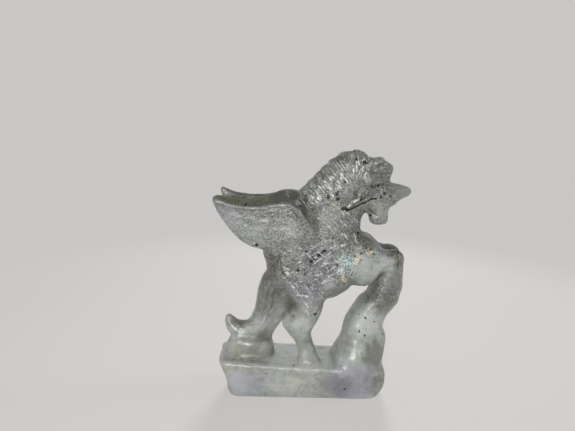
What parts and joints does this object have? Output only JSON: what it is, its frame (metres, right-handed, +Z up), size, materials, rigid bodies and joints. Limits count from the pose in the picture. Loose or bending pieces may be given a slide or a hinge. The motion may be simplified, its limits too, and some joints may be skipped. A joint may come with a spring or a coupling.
{
  "type": "pegasus figurine",
  "caption": "Small rearing winged horse with a stub horn, forelegs resting on a tree stump, carved from one piece of pale stone on a waisted rectangular plinth.",
  "frame": {"origin": "middle of the plinth's flat underside", "axes": "+Z up, +X the way the horse faces, +Y the horse's left side"},
  "size_m": [0.0425, 0.0144, 0.0562],
  "materials": {
    "labradorite": "waxy hand polish"
  },
  "bodies": {
    "root": {"pegasus_carving": "labradorite"}
  },
  "joints": []
}
